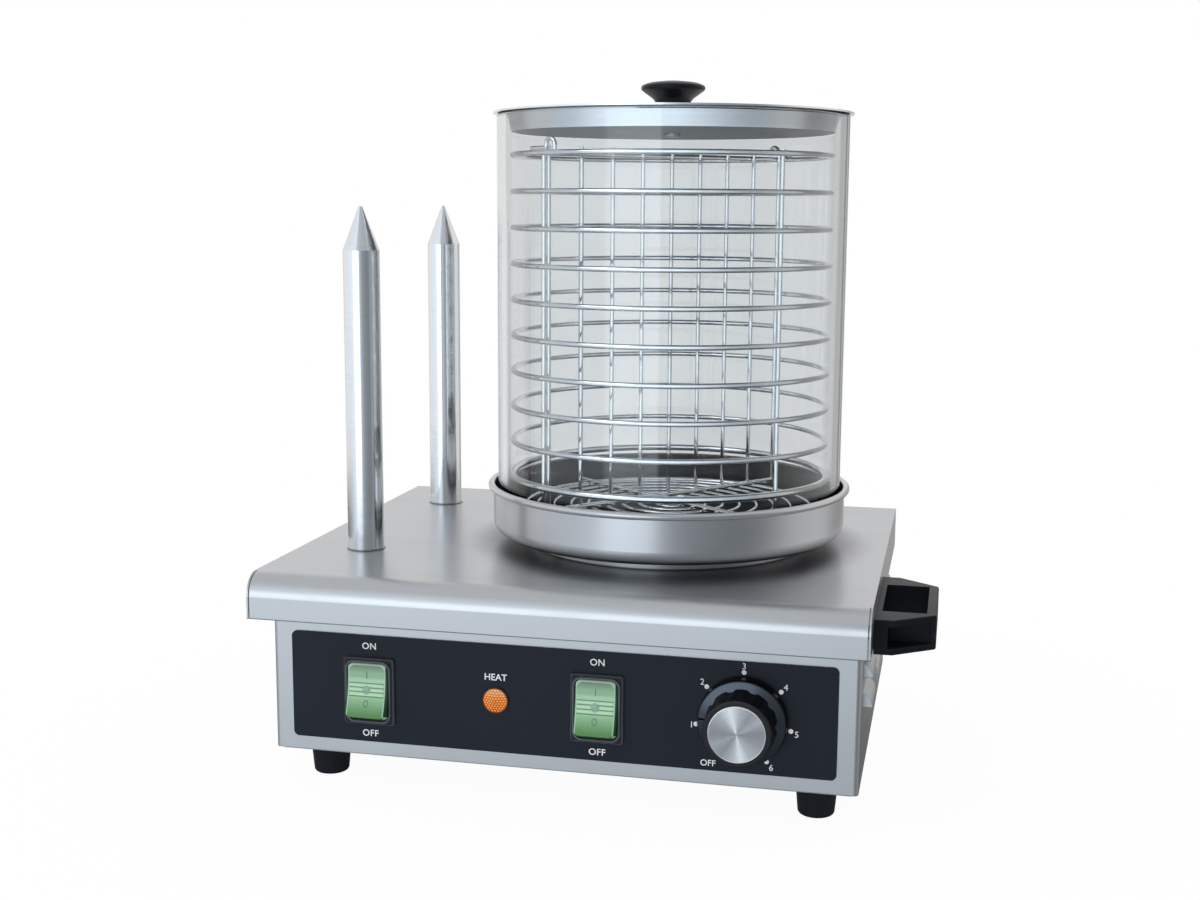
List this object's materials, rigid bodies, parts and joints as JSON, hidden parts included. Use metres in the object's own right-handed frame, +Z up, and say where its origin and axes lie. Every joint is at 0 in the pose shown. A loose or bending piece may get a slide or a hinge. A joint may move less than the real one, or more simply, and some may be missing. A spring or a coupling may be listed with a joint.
{
  "type": "hot dog steamer",
  "caption": "Countertop steamer: a wire basket for sausages stands in a glass cylinder over a heated water pan, beside heated spikes for buns.",
  "frame": {"origin": "on the counter, level with the soles of the four feet, under the middle of the whole outline (lid to side handle, control knob to cable gland)", "axes": "+Z up; the control panel faces -Y; the side handle is on the +X side"},
  "size_m": [0.3596, 0.2882, 0.3866],
  "materials": {
    "sheet_steel": "brushed stainless steel",
    "pan_steel": "satin stainless steel",
    "bright_wire": "polished",
    "spike_metal": "polished",
    "screw_steel": "plated",
    "black_panel": "satin",
    "black_plastic": "satin",
    "black_rubber": "matte",
    "switch_black": "gloss",
    "rocker_green": "translucent gloss",
    "lamp_orange": "translucent gloss",
    "spun_aluminium": "spun",
    "cast_aluminium": "cast",
    "element_steel": "oxidised",
    "brass_parts": "turned",
    "clear_glass": "clear polished",
    "light_plastic": "moulded"
  },
  "bodies": {
    "base": {"base_plate": "sheet_steel", "bun_spike_front": "spike_metal", "bun_spike_rear": "spike_metal", "cable_gland": "black_plastic", "capillary_tube": "brass_parts", "control_panel": "black_panel", "foot_front_left": "black_rubber", "foot_front_right": "black_rubber", "foot_nuts": "screw_steel", "foot_rear_left": "black_rubber", "foot_rear_right": "black_rubber", "foot_screws": "screw_steel", "gland_nut": "black_plastic", "handle_screws": "screw_steel", "heater_clamp": "screw_steel", "heater_nut": "screw_steel", "heater_plate": "cast_aluminium", "heating_element": "element_steel", "housing_shell": "sheet_steel", "left_switch_frame": "switch_black", "pan_seat": "sheet_steel", "pilot_lamp_body": "black_plastic", "pilot_lamp_nut": "black_plastic", "pilot_lens": "lamp_orange", "rear_panel": "sheet_steel", "rear_panel_screws": "screw_steel", "right_switch_frame": "switch_black", "sensor_bulb": "brass_parts", "side_handle": "black_plastic", "spike_collar_front": "spike_metal", "spike_collar_rear": "spike_metal", "spike_heater_front": "element_steel", "spike_heater_rear": "element_steel", "spike_nuts": "screw_steel", "switch_tabs": "brass_parts", "terminal_block": "light_plastic", "thermostat_body": "light_plastic", "thermostat_screws": "screw_steel", "top_plate": "sheet_steel", "water_pan": "pan_steel"},
    "glass": {"glass_cylinder": "clear_glass"},
    "basket": {"basket_rings": "bright_wire", "basket_base_ring": "bright_wire", "basket_uprights": "bright_wire", "divider_wires": "bright_wire", "divider_top_rail": "bright_wire", "floor_bar_upper": "bright_wire", "floor_bar_lower": "bright_wire", "floor_spiral": "bright_wire", "floor_ring": "bright_wire", "lifting_lugs": "bright_wire"},
    "cover": {"cover": "sheet_steel", "cover_knob": "black_plastic", "cover_knob_screw": "screw_steel"},
    "knob": {"thermostat_knob": "black_plastic", "knob_cap": "spun_aluminium", "thermostat_shaft": "screw_steel"},
    "left_rocker": {"left_rocker": "rocker_green"},
    "right_rocker": {"right_rocker": "rocker_green"}
  },
  "joints": [
    {"name": "glass_lift", "type": "slide", "parent": "base", "child": "glass", "axis": [0, 0, 1], "range_m": [0, 0.25]},
    {"name": "basket_lift", "type": "slide", "parent": "glass", "child": "basket", "axis": [0, 0, 1], "range_m": [0, 0.25]},
    {"name": "cover_lift", "type": "slide", "parent": "basket", "child": "cover", "axis": [0, 0, 1], "range_m": [0, 0.15]},
    {"name": "thermostat_turn", "type": "hinge", "parent": "base", "child": "knob", "pos_m": [0.0847, -0.1339, 0.0561], "axis": [0, 1, 0], "range_deg": [-50, 250]},
    {"name": "left_switch_rock", "type": "hinge", "parent": "base", "child": "left_rocker", "pos_m": [-0.1188, -0.1176, 0.0561], "axis": [1, 0, 0], "range_deg": [0, 22]},
    {"name": "right_switch_rock", "type": "hinge", "parent": "base", "child": "right_rocker", "pos_m": [0.0077, -0.1176, 0.0561], "axis": [1, 0, 0], "range_deg": [0, 22]}
  ]
}
